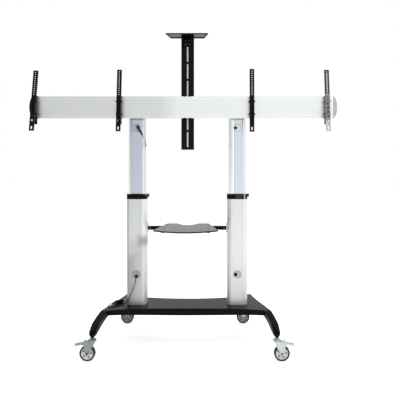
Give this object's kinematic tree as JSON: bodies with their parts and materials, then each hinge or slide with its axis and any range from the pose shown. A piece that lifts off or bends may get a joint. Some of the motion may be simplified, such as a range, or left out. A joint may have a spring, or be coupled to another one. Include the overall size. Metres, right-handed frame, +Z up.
{
  "type": "dual screen cart",
  "caption": "Rolling stand with two telescopic columns, a cross beam with tilting rails for two flat screens, a camera shelf on a mast and an equipment shelf.",
  "frame": {"origin": "on the floor under the middle of the beam's length and of the legs' depth", "axes": "+X to the stand's right as seen from its front and along the beam, -Y to its front where the screens face, +Z up"},
  "size_m": [2.1216, 0.772, 2.1393],
  "materials": {
    "black_steel": "black powder coat, slightly glossy",
    "brushed_aluminium": "satin anodised extrusion",
    "black_plastic": "moulded, satin black",
    "grey_plastic": "moulded, light grey",
    "zinc_plate": "bright zinc plated",
    "black_rubber": "matte black",
    "cream_nylon": "cream nylon",
    "grey_cable": "grey cable sheath",
    "black_cable": "black cable sheath"
  },
  "bodies": {
    "frame": {"base_frame": "black_steel", "leg_foot_front_left": "black_plastic", "leg_foot_front_right": "black_plastic", "leg_foot_rear_left": "black_plastic", "leg_foot_rear_right": "black_plastic", "lower_column_left": "brushed_aluminium", "lower_column_right": "brushed_aluminium", "column_collar_left": "black_plastic", "column_collar_right": "black_plastic", "lower_cap_left": "grey_plastic", "power_cord": "black_cable", "power_plug": "black_plastic"},
    "lift": {"upper_column_left": "brushed_aluminium", "upper_column_right": "brushed_aluminium", "beam_saddle_left": "black_plastic", "beam_saddle_right": "black_plastic", "beam": "brushed_aluminium", "beam_end_cap_left": "grey_plastic", "beam_end_cap_right": "grey_plastic", "upper_cap_left": "grey_plastic", "upper_connector": "black_plastic", "signal_lead": "grey_cable", "signal_plug": "black_plastic"},
    "knob_left": {"clamp_knob_left": "black_plastic"},
    "knob_right": {"clamp_knob_right": "black_plastic"},
    "lower_right_cap": {"lower_cap_right": "grey_plastic"},
    "upper_right_cap": {"upper_cap_right": "grey_plastic"},
    "mast_carrier": {"mast_clamp": "black_steel"},
    "mast": {"camera_mast": "black_steel", "camera_shelf": "black_steel"},
    "shelf": {"equipment_shelf": "black_steel", "shelf_crossbar": "black_steel", "shelf_clamp_left": "black_steel", "shelf_clamp_right": "black_steel"},
    "hook_outer_left": {"bracket_hook_outer_left": "black_steel"},
    "rail_outer_left": {"bracket_rail_outer_left": "black_steel"},
    "lock_outer_left": {"tilt_lock_outer_left": "black_steel"},
    "hook_inner_left": {"bracket_hook_inner_left": "black_steel"},
    "rail_inner_left": {"bracket_rail_inner_left": "black_steel"},
    "lock_inner_left": {"tilt_lock_inner_left": "black_steel"},
    "hook_inner_right": {"bracket_hook_inner_right": "black_steel"},
    "rail_inner_right": {"bracket_rail_inner_right": "black_steel"},
    "lock_inner_right": {"tilt_lock_inner_right": "black_steel"},
    "hook_outer_right": {"bracket_hook_outer_right": "black_steel"},
    "rail_outer_right": {"bracket_rail_outer_right": "black_steel"},
    "lock_outer_right": {"tilt_lock_outer_right": "black_steel"},
    "caster_front_left": {"caster_fork_front_left": "zinc_plate"},
    "wheel_front_left": {"caster_tyre_front_left": "black_rubber", "caster_hub_front_left": "cream_nylon"},
    "pedal_left": {"brake_pedal_left": "zinc_plate"},
    "caster_front_right": {"caster_fork_front_right": "zinc_plate"},
    "wheel_front_right": {"caster_tyre_front_right": "black_rubber", "caster_hub_front_right": "cream_nylon"},
    "pedal_right": {"brake_pedal_right": "zinc_plate"},
    "caster_rear_left": {"caster_fork_rear_left": "zinc_plate"},
    "wheel_rear_left": {"caster_tyre_rear_left": "black_rubber", "caster_hub_rear_left": "cream_nylon"},
    "caster_rear_right": {"caster_fork_rear_right": "zinc_plate"},
    "wheel_rear_right": {"caster_tyre_rear_right": "black_rubber", "caster_hub_rear_right": "cream_nylon"}
  },
  "joints": [
    {"name": "lift_slide", "type": "slide", "parent": "frame", "child": "lift", "axis": [0, 0, 1], "range_m": [-0.3, 0.1]},
    {"name": "knob_left_turn", "type": "hinge", "parent": "frame", "child": "knob_left", "pos_m": [-0.2542, 0.0075, 1.0278], "axis": [1, 0, 0], "range_deg": [0, 360]},
    {"name": "knob_right_turn", "type": "hinge", "parent": "frame", "child": "knob_right", "pos_m": [0.4538, 0.0075, 1.0278], "axis": [1, 0, 0], "range_deg": [0, 360]},
    {"name": "lower_right_cap_turn", "type": "hinge", "parent": "frame", "child": "lower_right_cap", "pos_m": [0.377, -0.05, 0.477], "axis": [0, 1, 0], "continuous": true},
    {"name": "upper_right_cap_turn", "type": "hinge", "parent": "lift", "child": "upper_right_cap", "pos_m": [0.377, -0.0385, 1.503], "axis": [0, 1, 0], "continuous": true},
    {"name": "bracket_outer_left_slide", "type": "slide", "parent": "lift", "child": "hook_outer_left", "axis": [1, 0, 0], "range_m": [0, 0.25]},
    {"name": "rail_outer_left_tilt", "type": "hinge", "parent": "hook_outer_left", "child": "rail_outer_left", "pos_m": [-1.018, -0.1401, 1.6777], "axis": [-1, 0, 0], "range_deg": [-12, 3]},
    {"name": "tilt_lock_outer_left_turn", "type": "hinge", "parent": "hook_outer_left", "child": "lock_outer_left", "pos_m": [-1.018, -0.1401, 1.5917], "axis": [1, 0, 0], "range_deg": [0, 360]},
    {"name": "bracket_inner_left_slide", "type": "slide", "parent": "lift", "child": "hook_inner_left", "axis": [1, 0, 0], "range_m": [-0.25, 0.25]},
    {"name": "rail_inner_left_tilt", "type": "hinge", "parent": "hook_inner_left", "child": "rail_inner_left", "pos_m": [-0.437, -0.1401, 1.6777], "axis": [-1, 0, 0], "range_deg": [-7.5, 7.5]},
    {"name": "tilt_lock_inner_left_turn", "type": "hinge", "parent": "hook_inner_left", "child": "lock_inner_left", "pos_m": [-0.437, -0.1401, 1.5917], "axis": [1, 0, 0], "range_deg": [0, 360]},
    {"name": "bracket_inner_right_slide", "type": "slide", "parent": "lift", "child": "hook_inner_right", "axis": [1, 0, 0], "range_m": [-0.2, 0.2]},
    {"name": "rail_inner_right_tilt", "type": "hinge", "parent": "hook_inner_right", "child": "rail_inner_right", "pos_m": [0.471, -0.1401, 1.6777], "axis": [-1, 0, 0], "range_deg": [-2, 13]},
    {"name": "tilt_lock_inner_right_turn", "type": "hinge", "parent": "hook_inner_right", "child": "lock_inner_right", "pos_m": [0.471, -0.1401, 1.5917], "axis": [1, 0, 0], "range_deg": [0, 360]},
    {"name": "bracket_outer_right_slide", "type": "slide", "parent": "lift", "child": "hook_outer_right", "axis": [1, 0, 0], "range_m": [-0.25, 0.02]},
    {"name": "rail_outer_right_tilt", "type": "hinge", "parent": "hook_outer_right", "child": "rail_outer_right", "pos_m": [0.986, -0.1401, 1.6777], "axis": [-1, 0, 0], "range_deg": [-8, 7]},
    {"name": "tilt_lock_outer_right_turn", "type": "hinge", "parent": "hook_outer_right", "child": "lock_outer_right", "pos_m": [0.986, -0.1401, 1.5917], "axis": [1, 0, 0], "range_deg": [0, 360]},
    {"name": "mast_carrier_slide", "type": "slide", "parent": "lift", "child": "mast_carrier", "axis": [1, 0, 0], "range_m": [-0.1, 0.1]},
    {"name": "mast_slide", "type": "slide", "parent": "mast_carrier", "child": "mast", "axis": [0, 0, 1], "range_m": [-0.067, 0.028]},
    {"name": "shelf_slide", "type": "slide", "parent": "frame", "child": "shelf", "axis": [0, 0, 1], "range_m": [-0.3, 0.12]},
    {"name": "caster_front_left_swivel", "type": "hinge", "parent": "frame", "child": "caster_front_left", "pos_m": [-0.5646, -0.359, 0.14], "axis": [0, 0, 1], "continuous": true},
    {"name": "wheel_front_left_spin", "type": "hinge", "parent": "caster_front_left", "child": "wheel_front_left", "pos_m": [-0.5956, -0.359, 0.05], "axis": [0, 1, 0], "continuous": true},
    {"name": "brake_pedal_left_press", "type": "hinge", "parent": "caster_front_left", "child": "pedal_left", "pos_m": [-0.6096, -0.359, 0.1105], "axis": [0, -1, 0], "range_deg": [0, 12]},
    {"name": "caster_front_right_swivel", "type": "hinge", "parent": "frame", "child": "caster_front_right", "pos_m": [0.6106, -0.359, 0.14], "axis": [0, 0, 1], "continuous": true},
    {"name": "wheel_front_right_spin", "type": "hinge", "parent": "caster_front_right", "child": "wheel_front_right", "pos_m": [0.6416, -0.359, 0.05], "axis": [0, 1, 0], "continuous": true},
    {"name": "brake_pedal_right_press", "type": "hinge", "parent": "caster_front_right", "child": "pedal_right", "pos_m": [0.6556, -0.359, 0.1105], "axis": [0, 1, 0], "range_deg": [0, 12]},
    {"name": "caster_rear_left_swivel", "type": "hinge", "parent": "frame", "child": "caster_rear_left", "pos_m": [-0.43, 0.359, 0.14], "axis": [0, 0, 1], "continuous": true},
    {"name": "wheel_rear_left_spin", "type": "hinge", "parent": "caster_rear_left", "child": "wheel_rear_left", "pos_m": [-0.461, 0.359, 0.05], "axis": [0, 1, 0], "continuous": true},
    {"name": "caster_rear_right_swivel", "type": "hinge", "parent": "frame", "child": "caster_rear_right", "pos_m": [0.476, 0.359, 0.14], "axis": [0, 0, 1], "continuous": true},
    {"name": "wheel_rear_right_spin", "type": "hinge", "parent": "caster_rear_right", "child": "wheel_rear_right", "pos_m": [0.445, 0.359, 0.05], "axis": [0, 1, 0], "continuous": true}
  ]
}
